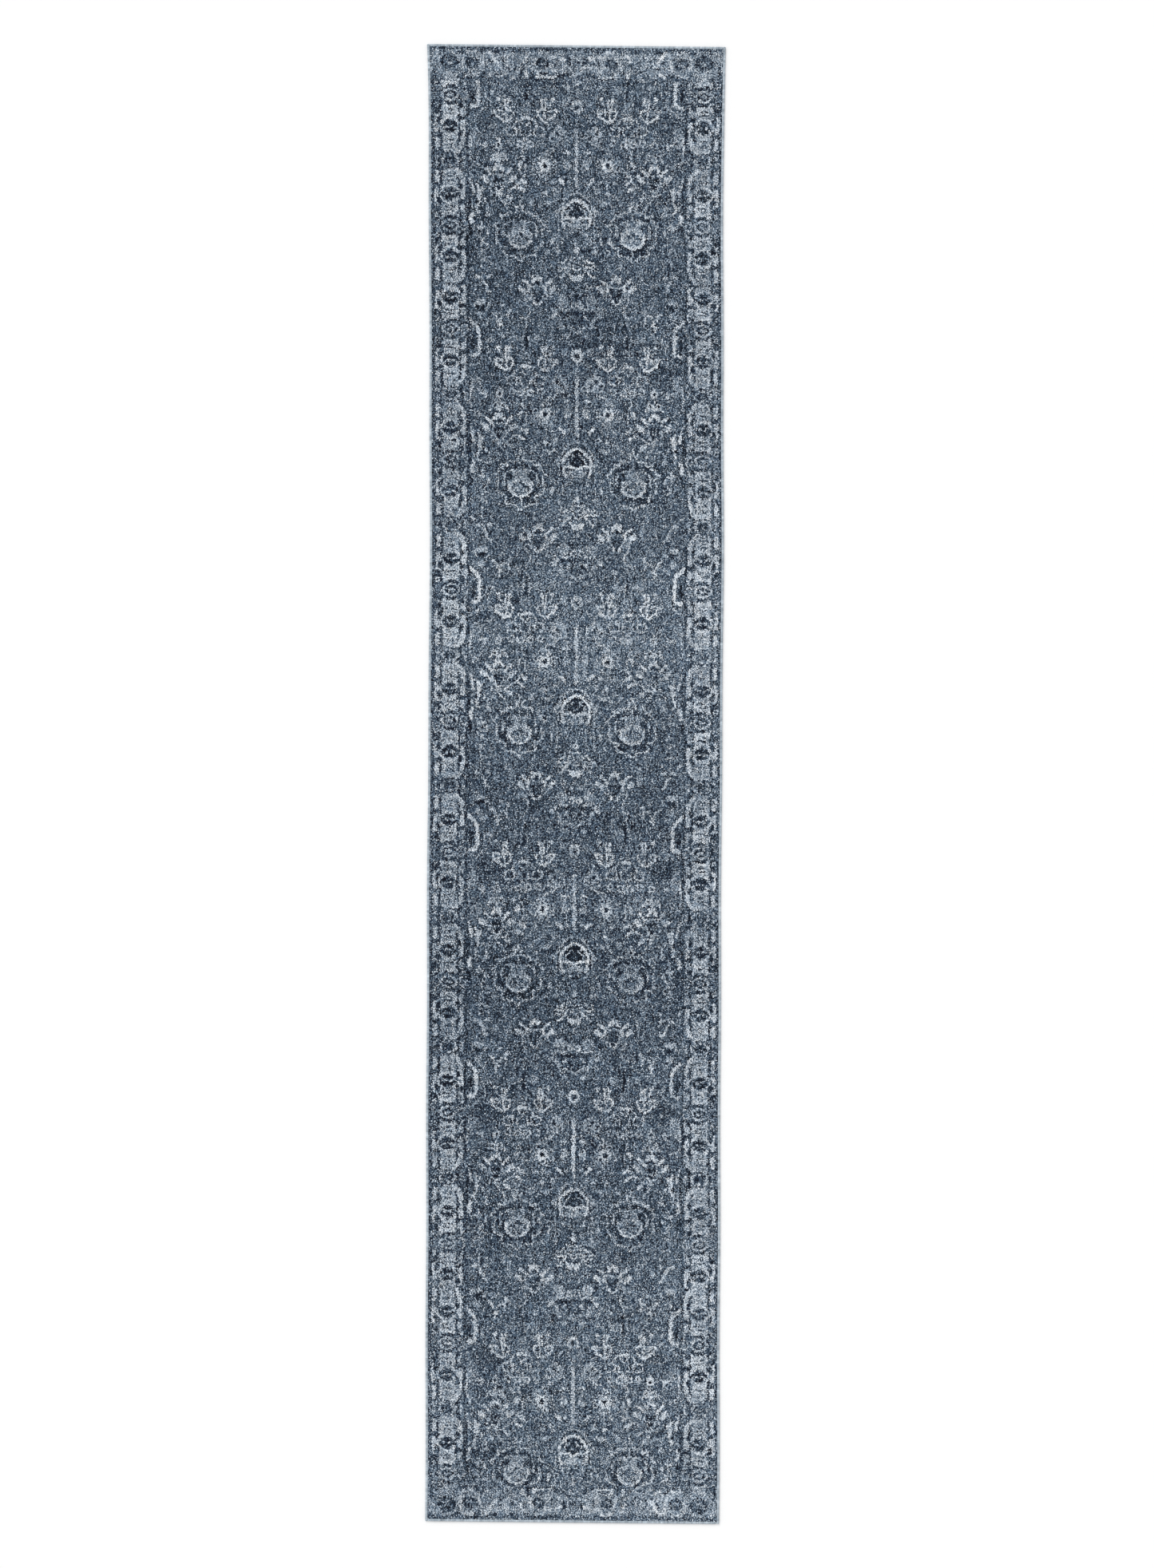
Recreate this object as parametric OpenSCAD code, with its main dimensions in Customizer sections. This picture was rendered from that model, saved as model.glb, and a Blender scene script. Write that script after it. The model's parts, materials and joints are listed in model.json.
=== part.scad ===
// Runner rug: a woven ground cloth that carries cut pile, bound on all four
// edges with yarn wrapped over a cord.  Millimetres, +Z up.  The origin is the
// middle of the underside, +Y runs along the rug towards its head end.

/* [Overall] */
// Finished width, over the bound edges
rug_w = 800; // [500:10:1200]
// Finished length, over the bound ends
rug_l = 4000; // [1500:10:5000]

/* [Ground cloth] */
// Thickness of the woven ground cloth
ground_t = 2.6; // [2:0.1:3.5]
// Thickness of the thin pile-free selvage round the cloth
selvage_t = 1.6; // [1:0.1:1.8]

/* [Pile] */
// Height of the cut pile above the ground cloth
pile_h = 6; // [4:0.5:12]
// Width of each patterned side border, from the bound edge inwards
side_border_w = 97; // [60:1:140]
// Depth of the patterned border across each end, from the bound end inwards
end_border_w = 86; // [60:1:140]

/* [Bound edges] */
// Width of the wrapped edge, seen from above
wrap_w = 7; // [6:0.5:10]
// Height of the wrapped edge above the floor
wrap_h = 6; // [5.5:0.1:8]
// Radius that rounds the wrapped edge
wrap_r = 2.4; // [1.5:0.1:2.6]
// Thickness of the wrapping yarn around the cord
yarn_t = 0.8; // [0.6:0.1:0.9]
// Diameter of the cord inside the wrapped edge
cord_d = 3.6; // [3:0.1:3.8]

/* [Hidden] */
$fn = 48;

left = -1;                              // signs of the sides and of the ends
right = 1;
head = 1;
foot = -1;
inner_w = rug_w - 2 * wrap_w;           // pile area, inside the bound edges
inner_l = rug_l - 2 * wrap_w;
field_w = inner_w - 2 * side_border_w;  // field, inside the borders
field_l = inner_l - 2 * end_border_w;
cord_play = 0.05;                       // gap between the cord and its wrapping
cord_in = cord_d / 2 + yarn_t + cord_play;      // cord's line, from the edge
cord_z = wrap_h / 2;
tongue_z = (ground_t - selvage_t) / 2;          // underside of the selvage
tongue_in = cord_in + cord_d / 2 + 2 * cord_play;  // selvage's edge, from the edge
overrun = 1;                            // cutters run past the faces they cut

// Colours of the yarns
pile_field_colour = [0.40, 0.45, 0.50];
pile_border_colour = [0.46, 0.50, 0.54];
ground_colour = [0.62, 0.61, 0.58];
cord_colour = [0.72, 0.71, 0.68];
wrap_colour = [0.66, 0.71, 0.76];

// A slab w by l centred on the rug's middle, from height z up by t
module slab(w, l, z, t) {
    translate([-w / 2, -l / 2, z]) cube([w, l, t]);
}

// A block of pile between two corners of the rug's plan
module pile_block(x0, x1, y0, y1) {
    translate([x0, y0, ground_t]) cube([x1 - x0, y1 - y0, pile_h]);
}

// Outline of a wrapped edge: round on its outer side, at x = 0, and square
// on the side that stands against the pile
module wrap_outline() {
    for (z = [wrap_r, wrap_h - wrap_r])
        translate([wrap_r, z]) circle(r = wrap_r);
    translate([0, wrap_r]) square([wrap_w, wrap_h - 2 * wrap_r]);
    translate([wrap_r, 0]) square([wrap_w - wrap_r, wrap_h]);
}

// Section of the wrapping: a round bore for the cord, a slot for the selvage
module wrap_section() {
    difference() {
        wrap_outline();
        translate([cord_in, cord_z]) circle(d = cord_d + 2 * cord_play);
        translate([cord_in, tongue_z])
            square([wrap_w - cord_in + overrun, selvage_t]);
    }
}

// A bar of the given section, run along +Y and centred, outer side at x = 0
module along_y(length) {
    translate([0, length / 2, 0]) rotate([90, 0, 0])
        linear_extrude(height = length) children();
}

// Places an along_y bar on a long side
module on_side(side) {
    translate([side * rug_w / 2, 0, 0]) rotate([0, 0, side == right ? 180 : 0])
        children();
}

// Places an along_y bar across an end
module on_end(end) {
    translate([0, end * rug_l / 2, 0]) rotate([0, 0, end == head ? -90 : 90])
        children();
}

module ground_cloth() {
    color(ground_colour) {
        slab(inner_w, inner_l, 0, ground_t);
        slab(rug_w - 2 * tongue_in, rug_l - 2 * tongue_in, tongue_z, selvage_t);
    }
}

module field_pile() {
    color(pile_field_colour)
        pile_block(-field_w / 2, field_w / 2, -field_l / 2, field_l / 2);
}

// Side borders stop at the end borders, which run right across the rug
module side_border_pile(side) {
    near = side * field_w / 2;
    far = side * inner_w / 2;
    color(pile_border_colour)
        pile_block(min(near, far), max(near, far), -field_l / 2, field_l / 2);
}

module end_border_pile(end) {
    near = end * field_l / 2;
    far = end * inner_l / 2;
    color(pile_border_colour)
        pile_block(-inner_w / 2, inner_w / 2, min(near, far), max(near, far));
}

module cord(length) {
    color(cord_colour) along_y(length)
        translate([cord_in, cord_z]) circle(d = cord_d);
}

module wrap(length) {
    color(wrap_colour) along_y(length) wrap_section();
}

module left_border_pile() { side_border_pile(left); }
module right_border_pile() { side_border_pile(right); }
module head_border_pile() { end_border_pile(head); }
module foot_border_pile() { end_border_pile(foot); }
module left_edge_cord() { on_side(left) cord(rug_l); }
module right_edge_cord() { on_side(right) cord(rug_l); }
module head_end_cord() { on_end(head) cord(inner_w); }
module foot_end_cord() { on_end(foot) cord(inner_w); }
module left_edge_wrap() { on_side(left) wrap(rug_l); }
module right_edge_wrap() { on_side(right) wrap(rug_l); }
module head_end_wrap() { on_end(head) wrap(inner_w); }
module foot_end_wrap() { on_end(foot) wrap(inner_w); }

ground_cloth();
field_pile();
left_border_pile();
right_border_pile();
head_border_pile();
foot_border_pile();
left_edge_cord();
right_edge_cord();
head_end_cord();
foot_end_cord();
left_edge_wrap();
right_edge_wrap();
head_end_wrap();
foot_end_wrap();
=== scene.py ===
"""Runner rug: cut pile in mixed yarns on a woven ground, with yarn-bound edges.

The design and the tufts are sized in millimetres.  Meshes, a finish's relief and the
studio are in metres, in the CAD frame.  The rug's centre line is x = 0, and its head
end is at +Y.
"""

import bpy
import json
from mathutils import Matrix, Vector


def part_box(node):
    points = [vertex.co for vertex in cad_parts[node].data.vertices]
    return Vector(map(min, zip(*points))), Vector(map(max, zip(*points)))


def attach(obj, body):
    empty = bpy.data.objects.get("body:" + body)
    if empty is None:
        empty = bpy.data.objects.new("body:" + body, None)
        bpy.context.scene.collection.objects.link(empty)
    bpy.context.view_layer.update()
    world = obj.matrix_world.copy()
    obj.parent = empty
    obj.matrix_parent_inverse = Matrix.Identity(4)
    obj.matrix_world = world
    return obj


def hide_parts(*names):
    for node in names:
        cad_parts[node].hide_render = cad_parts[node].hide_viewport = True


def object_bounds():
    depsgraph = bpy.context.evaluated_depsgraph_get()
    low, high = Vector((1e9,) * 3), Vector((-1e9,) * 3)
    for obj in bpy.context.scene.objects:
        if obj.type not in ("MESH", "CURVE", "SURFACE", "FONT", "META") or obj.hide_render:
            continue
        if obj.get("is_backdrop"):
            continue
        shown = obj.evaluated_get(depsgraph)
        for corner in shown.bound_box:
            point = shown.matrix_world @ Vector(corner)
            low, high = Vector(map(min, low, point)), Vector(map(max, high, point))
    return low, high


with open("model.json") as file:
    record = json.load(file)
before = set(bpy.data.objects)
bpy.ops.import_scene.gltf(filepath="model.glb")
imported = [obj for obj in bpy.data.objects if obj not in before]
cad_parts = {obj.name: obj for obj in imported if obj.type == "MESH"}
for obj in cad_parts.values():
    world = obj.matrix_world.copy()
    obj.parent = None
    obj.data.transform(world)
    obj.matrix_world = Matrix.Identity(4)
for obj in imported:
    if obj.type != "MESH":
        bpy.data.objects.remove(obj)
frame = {"nodes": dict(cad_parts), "record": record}

import copy
import json
import logging
import math
from dataclasses import dataclass, field
from enum import Enum
from typing import Callable, Sequence

import bmesh
import bpy
import numpy as np
from mathutils import Matrix

LOG = logging.getLogger("runner_rug")
MM = 0.001
YARN_COLOUR = "yarn_colour"


# --------------------------------------------------------------------------
# The design, drawn in millimetres
# --------------------------------------------------------------------------

class Tone(Enum):
    """How much lighter or darker than the middle a part of the design is."""

    IVORY = 60.0
    SILVER = 44.0
    PALE = 28.0
    MIST = 12.0
    GROUND = -10.0
    SLATE = -22.0
    NAVY = -35.0
    INK = -48.0


IVORY, SILVER, PALE, MIST, GROUND, SLATE, NAVY, INK = Tone


@dataclass
class Cartoon:
    """A drawing of one repeat of the design, on squared paper.

    Columns run along u, rows along t.  Where the repeat wraps, a motif that runs
    over the last row goes on at the first.
    """

    width: float
    length: float
    wraps: bool = False
    cell: float = 1.0
    edge: float = 1.0
    axis: float | None = None
    level: np.ndarray = field(init=False)

    def __post_init__(self) -> None:
        """Lay out the empty paper."""
        rows = round(self.length / self.cell)
        cols = round(self.width / self.cell)
        self.level = np.full((rows, cols), GROUND.value)

    def _paint(self, reach: tuple[float, float, float, float],
               depth: Callable[[np.ndarray, np.ndarray], np.ndarray], tone: Tone) -> None:
        """Paint one shape with a soft edge.

        Args:
            reach: least u, greatest u, least t and greatest t of the shape.
            depth: how far inside the shape a point lies, negative outside it.
            tone: the shape's tone.
        """
        rows, cols = self.level.shape
        margin = self.edge + self.cell
        col = np.arange(max(0, int((reach[0] - margin) / self.cell)),
                        min(cols, int((reach[1] + margin) / self.cell) + 1))
        row = np.arange(math.floor((reach[2] - margin) / self.cell),
                        math.ceil((reach[3] + margin) / self.cell) + 1)
        if not self.wraps:
            row = row[(row >= 0) & (row < rows)]
        if not len(col) or not len(row):
            return
        u, t = np.meshgrid((col + 0.5) * self.cell, (row + 0.5) * self.cell)
        cover = np.clip(0.5 + depth(u, t) / (2 * self.edge), 0, 1)
        spot = np.ix_(row % rows, col)
        self.level[spot] += cover * (tone.value - self.level[spot])

    def oval(self, u: float, t: float, ru: float, rt: float, tone: Tone) -> None:
        """Paint an oval.

        Args:
            u: centre across the rug.
            t: centre along the rug.
            ru: half width.
            rt: half length.
            tone: the oval's tone.
        """
        def depth(x: np.ndarray, y: np.ndarray) -> np.ndarray:
            """Depth inside the oval."""
            return (1 - np.hypot((x - u) / ru, (y - t) / rt)) * min(ru, rt)

        self._paint((u - ru, u + ru, t - rt, t + rt), depth, tone)

    def ring(self, u: float, t: float, ru: float, rt: float, width: float,
             tone: Tone) -> None:
        """Paint an oval outline of the given width.

        Args:
            u: centre across the rug.
            t: centre along the rug.
            ru: half width to the middle of the line.
            rt: half length to the middle of the line.
            width: the line's width.
            tone: the line's tone.
        """
        def depth(x: np.ndarray, y: np.ndarray) -> np.ndarray:
            """Depth inside the line."""
            off = np.abs(np.hypot((x - u) / ru, (y - t) / rt) - 1) * min(ru, rt)
            return width / 2 - off

        self._paint((u - ru - width, u + ru + width, t - rt - width, t + rt + width),
                    depth, tone)

    def mirrored(self, axis: float) -> "Cartoon":
        """Give the same paper, on which lines and spots are drawn with their mirror images.

        Args:
            axis: the u of the line that they are mirrored about.

        Returns:
            The paper, sharing this one's levels.
        """
        twin = copy.copy(self)
        twin.axis = axis
        return twin

    def stroke(self, path: Sequence[float], width: float, tone: Tone) -> None:
        """Paint a line with round ends.

        Args:
            path: the u and t of its points, by turns.
            width: the line's width.
            tone: the line's tone.
        """
        us, ts, half = path[::2], path[1::2], width / 2

        def depth(x: np.ndarray, y: np.ndarray) -> np.ndarray:
            """Depth inside the nearest leg of the line."""
            nearest = np.full(x.shape, np.inf)
            for i in range(len(us) - 1):
                du, dt = us[i + 1] - us[i], ts[i + 1] - ts[i]
                along = ((x - us[i]) * du + (y - ts[i]) * dt) / max(du * du + dt * dt, 1e-9)
                along = np.clip(along, 0, 1)
                off = np.hypot(x - us[i] - along * du, y - ts[i] - along * dt)
                nearest = np.minimum(nearest, off)
            return half - nearest

        self._paint((min(us) - half, max(us) + half, min(ts) - half, max(ts) + half),
                    depth, tone)

    def lines(self, tone: Tone, width: float, *paths: Sequence[float]) -> None:
        """Paint several strokes, and their mirror images on mirrored paper.

        Args:
            tone: their tone.
            width: their width.
            paths: the u and t of each one's points, by turns.
        """
        for path in paths:
            self.stroke(path, width, tone)
            if self.axis is not None:
                flipped = [v if i % 2 else 2 * self.axis - v for i, v in enumerate(path)]
                self.stroke(flipped, width, tone)

    def spots(self, tone: Tone, *ovals: tuple[float, float, float, float]) -> None:
        """Paint several ovals, and their mirror images on mirrored paper.

        Args:
            tone: their tone.
            ovals: the centre, half width and half length of each.
        """
        for u, t, ru, rt in ovals:
            self.oval(u, t, ru, rt, tone)
            if self.axis is not None:
                self.oval(2 * self.axis - u, t, ru, rt, tone)

    def rosette(self, u: float, t: float, radius: float, petals: int, tone: Tone,
                core: Tone = NAVY) -> None:
        """Paint a round flower.

        Args:
            u: centre across the rug.
            t: centre along the rug.
            radius: out to the petals' tips.
            petals: how many petals it has.
            tone: the petals' tone.
            core: the tone of its eye.
        """
        petal, eye, out = radius * 0.25, radius * 0.36, 0.75 * radius
        self.ring(u, t, radius * 0.6, radius * 0.6, radius * 0.4, tone)
        for i in range(petals):
            angle = 2 * math.pi * (i + 0.5) / petals
            self.oval(u + out * math.cos(angle), t + out * math.sin(angle), petal, petal, tone)
        self.oval(u, t, eye, eye, core)

    def sample(self, u: np.ndarray, t: np.ndarray) -> np.ndarray:
        """Read the drawing.

        Args:
            u: places across the rug.
            t: places along the rug.

        Returns:
            The level at each place.
        """
        rows, cols = self.level.shape
        col = np.clip((u / self.cell).astype(int), 0, cols - 1)
        row = np.floor(t / self.cell).astype(int)
        row = row % rows if self.wraps else np.clip(row, 0, rows - 1)
        return self.level[row, col]


@dataclass(frozen=True)
class FieldDesign:
    """The floral field: u from the rug's centre line, t from its head end."""

    half_width: float = 310.0
    repeat: float = 669.2
    places: tuple[float, ...] = (0, 720, 850, 1230, 1380, 1550, 2050, 2200, 2580, 2750, 3200)
    drift: tuple[float, ...] = (0, 0, -4, -5, -1, -4, -3, -6, -6, -3, 0)

    def draw(self) -> Cartoon:
        """Draw half of one repeat of the field."""
        cartoon = Cartoon(self.half_width, self.repeat, wraps=True)
        self.background(cartoon)
        self.centre_stem(cartoon)
        self.tulips(cartoon)
        self.pointed_leaf(cartoon)
        self.daisy(cartoon)
        self.flower_branch(cartoon)
        self.bell(cartoon)
        self.round_palmette(cartoon)
        self.centre_spray(cartoon)
        self.crown(cartoon)
        self.side_vine(cartoon)
        self.side_branch(cartoon)
        return cartoon

    def sample(self, cartoon: Cartoon, u: np.ndarray, t: np.ndarray) -> np.ndarray:
        """Read the field, which drifts a little along the rug.

        Args:
            cartoon: the drawing.
            u: distances from the rug's centre line.
            t: distances from the head end.

        Returns:
            The level at each place.
        """
        return cartoon.sample(u, t + np.interp(t, self.places, self.drift))

    def background(self, c: Cartoon) -> None:
        """The shadows that the flowers stand on.

        Args:
            c: the drawing.
        """
        c.spots(SLATE, (232, 215, 45, 22), (215, 470, 30, 12), (125, 600, 20, 8), (70, 440, 22, 9),
                (135, 315, 10, 14), (205, 620, 12, 10), (60, 310, 8, 40))
        c.spots(MIST, (110, 125, 14, 12), (168, 128, 16, 10), (200, 115, 9, 7), (66, 118, 9, 7),
                (165, 303, 7, 7), (86, 603, 6, 12), (118, 603, 6, 12), (175, 640, 7, 28),
                (215, 650, 8, 8), (190, 600, 5, 30), (35, 160, 9, 9))

    def centre_stem(self, c: Cartoon) -> None:
        """The rosette on the centre line and the stem below it.

        Args:
            c: the drawing.
        """
        c.ring(0, 170, 12, 13, 8, SILVER)
        c.oval(4, 158, 8, 5, IVORY)
        c.oval(0, 171, 4, 5, NAVY)
        c.lines(SILVER, 9, (0, 232, 0, 385))
        c.lines(MIST, 6, (0, 188, 0, 232))
        c.lines(MIST, 4, (13, 240, 14, 262, 24, 278))

    def tulips(self, c: Cartoon) -> None:
        """The fountain with a tulip on each side of it.

        Args:
            c: the drawing.
        """
        pair = c.mirrored(139.5)
        c.lines(INK, 9, (136, 95, 136, 150))
        pair.lines(NAVY, 6, (124, 92, 126, 112), (120, 155, 113, 172))
        pair.lines(PALE, 3, (132, 118, 130, 143))
        pair.lines(MIST, 5, (129, 156, 131, 180), (138, 160, 139, 178))
        pair.lines(PALE, 3, (126, 188, 139, 188))
        pair.lines(IVORY, 9, (130, 201, 137, 199))
        c.lines(SLATE, 6, (139, 212, 139, 217))
        pair.lines(SILVER, 3.5, (128, 209, 139, 222), (121, 201, 112, 213, 108, 222, 98, 225, 88, 228),
                   (108, 222, 117, 230))
        pair.lines(IVORY, 5, (85, 148, 85, 178), (98, 153, 94, 147, 94, 178))
        pair.lines(IVORY, 4.5, (55, 180, 66, 178, 76, 182), (55, 180, 60, 190), (88, 176, 88, 202),
                   (97, 176, 107, 182, 103, 196, 94, 208))
        pair.lines(IVORY, 6.5, (60, 194, 71, 201, 84, 210, 95, 206))
        pair.lines(SILVER, 3, (65, 152, 76, 170), (62, 186, 76, 190))
        pair.spots(IVORY, (66, 147, 6, 4))
        pair.lines(SILVER, 3.5, (88, 230, 90, 245, 101, 247), (113, 226, 116, 246, 104, 247),
                   (126, 226, 124, 244, 131, 246))
        pair.spots(INK, (110, 237, 3, 8), (121, 238, 3, 6))
        pair.lines(SILVER, 3.5, (136, 250, 136, 284))
        for u in (126, 153):
            c.ring(u, 270, 7, 8, 4.5, SILVER)
        for u in (99, 177):
            c.ring(u, 267, 7, 8, 5, PALE)
            c.oval(u, 267, 3.5, 3.5, NAVY)

    def pointed_leaf(self, c: Cartoon) -> None:
        """The pointed leaf beside the stem, with the twig and buds under it.

        Args:
            c: the drawing.
        """
        c.lines(PALE, 3, (27, 193, 38, 200), (49, 204, 52, 222))
        c.lines(PALE, 13, (50, 228, 62, 243, 50, 258, 36, 243, 50, 228))
        c.lines(PALE, 7, (50, 222, 72, 248, 70, 262, 50, 268, 28, 261, 30, 238, 50, 222))
        c.spots(NAVY, (53, 240, 5, 6), (41, 249, 5, 3), (67, 252, 5, 3))
        c.lines(SILVER, 3.5, (51, 268, 57, 278, 66, 282, 76, 282, 82, 288, 87, 297), (63, 273, 62, 288))
        c.lines(PALE, 6, (78, 298, 94, 296))
        c.lines(SILVER, 7, (20, 293, 26, 290, 32, 293))
        c.lines(PALE, 3, (25, 296, 25, 306))
        c.spots(PALE, (25, 325, 9, 14), (57, 398, 7, 8), (20, 371, 4, 4))
        c.spots(GROUND, (25, 319, 3, 4), (57, 398, 3, 4))
        c.spots(SILVER, (18, 328, 4, 5), (30, 334, 4, 6))
        c.lines(IVORY, 8, (46, 366, 40, 370, 33, 378))

    def daisy(self, c: Cartoon) -> None:
        """The daisy in its ring of little flowers, and the twig below it.

        Args:
            c: the drawing.
        """
        for i in range(8):
            angle = math.pi * (i + 0.5) / 4
            u, t = 86 + 27 * math.cos(angle), 329 + 24 * math.sin(angle)
            c.ring(u, t, 6, 6, 4, PALE)
            c.oval(u, t, 3, 3, NAVY)
        c.rosette(86, 329, 18, 8, IVORY, INK)
        c.lines(PALE, 3, (84, 350, 84, 396), (86, 408, 88, 424, 94, 437, 104, 446),
                (96, 407, 110, 415, 117, 421))
        c.spots(SILVER, (85, 403, 7, 5))
        c.spots(PALE, (121, 427, 7, 9), (76, 430, 10, 6), (67, 374, 6, 3), (104, 375, 7, 4),
                (64, 424, 4, 3))

    def flower_branch(self, c: Cartoon) -> None:
        """The upright branch of small flowers over a dark heart, and its vine.

        Args:
            c: the drawing.
        """
        axis = 211
        pair = c.mirrored(axis)
        c.rosette(axis, 273, 12, 4, SILVER)
        c.lines(SILVER, 5, (axis, 257, axis, 264))
        c.lines(SILVER, 3, (axis, 286, axis, 326))
        pair.lines(IVORY, 4, (206, 312, 211, 318), (190, 312, 187, 318))
        for u in (200, 222):
            c.rosette(u, 305, 10, 5, SILVER)
        pair.lines(IVORY, 9, (199, 341, 205, 334, 211, 331))
        pair.lines(IVORY, 5, (203, 326, 205, 333))
        c.spots(NAVY, (211, 346, 4, 4), (202, 348, 3, 3), (220, 348, 3, 3))
        pair.lines(PALE, 3, (197, 352, 211, 354), (196, 356, 194, 372, 203, 388))
        pair.lines(IVORY, 7, (177, 338, 186, 346, 192, 354))
        pair.lines(IVORY, 12, (168, 359, 177, 368))
        pair.lines(SILVER, 5, (184, 374, 180, 358), (164, 364, 170, 358))
        pair.spots(MIST, (191, 379, 6, 9))
        pair.lines(INK, 8, (202, 368, 205, 380, 211, 389), (205, 366, 211, 372))
        pair.lines(PALE, 3, (205, 373, 208, 381))
        pair.lines(SILVER, 4.5, (201, 392, 211, 399))
        c.lines(SILVER, 3.5, (148, 290, 149, 301, 142, 314), (138, 325, 138, 354, 147, 360, 155, 375,
                166, 386, 179, 393, 191, 405, 213, 406), (213, 406, 206, 420, 195, 431, 187, 446))
        c.lines(IVORY, 7, (150, 321, 157, 330), (147, 369, 136, 377), (156, 388, 142, 396))
        c.lines(SILVER, 5, (148, 322, 155, 338), (134, 369, 145, 373))
        c.lines(SILVER, 7, (186, 411, 177, 420))
        c.spots(SILVER, (213, 406, 6, 5), (175, 415, 3, 3))
        c.spots(PALE, (229, 403, 4, 7))
        c.lines(PALE, 3, (213, 436, 224, 425, 236, 429, 243, 438, 242, 449))

    def bell(self, c: Cartoon) -> None:
        """The bell-shaped palmette on the centre line.

        Args:
            c: the drawing.
        """
        c.lines(PALE, 5, (0, 401, 16, 405, 29, 417, 40, 434, 46, 448))
        c.lines(NAVY, 4, (0, 410, 13, 411, 24, 421, 36, 437, 44, 460, 43, 495))
        c.spots(INK, (0, 447, 26, 22))
        c.lines(IVORY, 7, (4, 421, 16, 426, 26, 434, 35, 446, 39, 459, 37, 474, 36, 484, 30, 496))
        c.lines(IVORY, 5, (19, 437, 26, 436))
        c.lines(INK, 3, (5, 430, 17, 436))
        c.spots(SLATE, (4, 457, 5, 4))
        c.lines(IVORY, 7, (0, 477, 10, 471, 31, 469))
        c.lines(PALE, 3.5, (8, 436, 13, 446, 22, 450), (22, 450, 25, 462))
        c.spots(PALE, (7, 489, 17, 9))
        c.lines(SILVER, 3, (3, 483, 12, 480, 20, 486), (6, 495, 14, 499))
        c.lines(PALE, 3, (48, 440, 49, 505, 51, 572), (40, 521, 40, 543), (57, 519, 62, 509, 73, 505))
        c.lines(SILVER, 6, (66, 526, 68, 541))
        c.spots(PALE, (54, 458, 5, 10), (28, 515, 4, 7), (50, 561, 8, 5), (10, 510, 4, 4))
        c.spots(INK, (5, 514, 5, 5))
        c.ring(82, 563, 5, 5, 3, PALE)
        c.lines(PALE, 4, (0, 530, 0, 548))
        c.spots(IVORY, (0, 557, 7, 9))

    def round_palmette(self, c: Cartoon) -> None:
        """The big round palmette inside its scalloped outline.

        Args:
            c: the drawing.
        """
        axis = 153.5
        pair = c.mirrored(axis)
        c.spots(SLATE, (axis, 512, 58, 52))
        c.ring(axis, 515, 47, 43, 9, NAVY)
        pair.spots(NAVY, (128, 562, 16, 9), (116, 480, 9, 16))
        pair.lines(SILVER, 3.6, (axis, 424, axis, 438), (142, 433, 146, 444), (148, 439, 145, 453,
                   133, 456, 120, 455, 117, 466, 104, 463, 105, 474, 95, 476, 92, 484, 84, 492), (89, 498,
                   94, 502, 93, 512, 90, 518, 91, 538, 100, 547, 114, 548, 114, 556, 109, 564, 114, 571,
                   132, 573, 142, 577, axis, 588))
        pair.spots(SILVER, (103, 463, 4, 3), (117, 464, 4, 5), (85, 491, 5, 3), (92, 537, 4, 5))
        c.lines(PALE, 3.5, (axis, 450, axis, 472), (axis, 558, axis, 574))
        c.spots(MIST, (axis, 490, 22, 15))
        pair.lines(PALE, 6, (138, 478, 143, 492), (126, 480, 136, 480))
        pair.lines(PALE, 6, (111, 489, 107, 505, 109, 520))
        pair.lines(PALE, 4, (118, 486, 122, 481))
        c.spots(PALE, (axis, 524, 34, 29))
        c.spots(GROUND, (axis, 526, 24, 20))
        pair.lines(IVORY, 5.5, (122, 513, 124, 532, 134, 545, axis, 552))
        pair.lines(SILVER, 4.5, (130, 513, 144, 503), (131, 521, 147, 508), (138, 528, 136, 538))
        pair.lines(PALE, 4, (axis, 520, axis, 546), (144, 527, 148, 540))
        pair.lines(NAVY, 3.5, (119, 487, 129, 494, 126, 503, 117, 508, 116, 520))

    def centre_spray(self, c: Cartoon) -> None:
        """The fan of petals on the centre line and the winged flower below it.

        Args:
            c: the drawing.
        """
        c.lines(SILVER, 4, (0, 574, 10, 578, 18, 574), (0, 590, 12, 586), (4, 600, 14, 596),
                (2, 612, 10, 606), (18, 606, 24, 616))
        c.lines(IVORY, 4.5, (28, 583, 36, 592, 46, 590), (26, 602, 40, 603, 52, 600),
                (24, 608, 33, 617, 36, 627, 45, 630))
        c.lines(SILVER, 4, (17, 583, 24, 594), (36, 612, 50, 612), (18, 596, 20, 606))
        c.spots(SLATE, (9, 592, 4, 4), (15, 612, 3, 4), (44, 619, 5, 3))
        c.spots(IVORY, (8, 632, 10, 8))
        c.lines(IVORY, 5, (14, 628, 19, 622), (0, 636, 6, 640))
        c.ring(34, 655, 6, 6, 3, PALE)
        c.oval(34, 655, 3, 3, NAVY)
        c.spots(PALE, (0, 657, 6, 5), (36, 696, 14, 16), (12, 672, 4, 6))
        c.spots(NAVY, (0, 684, 6, 8), (12, 684, 4, 7), (22, 680, 4, 5))
        c.lines(PALE, 4, (48, 684, 54, 700), (0, 698, 16, 696))
        c.ring(10, 707, 6, 6, 4, IVORY)
        c.lines(SILVER, 5, (20, 717, 34, 717, 48, 714))
        c.lines(NAVY, 9, (0, 727, 46, 727))
        c.lines(NAVY, 7, (36, 737, 28, 748), (12, 740, 12, 752))
        c.lines(SILVER, 4.5, (20, 735, 30, 745), (54, 722, 58, 734, 66, 730))
        c.spots(SILVER, (63, 735, 7, 6))
        c.ring(62, 719, 6, 5, 3, PALE)
        c.lines(PALE, 11, (46, 742, 38, 764))
        c.lines(PALE, 7, (24, 762, 0, 776))
        c.lines(NAVY, 6, (4, 752, 10, 762), (54, 770, 58, 782))
        c.lines(MIST, 3, (84, 738, 75, 752, 62, 776), (74, 715, 92, 717))
        c.spots(PALE, (103, 758, 5, 6), (25, 786, 8, 6))

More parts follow.
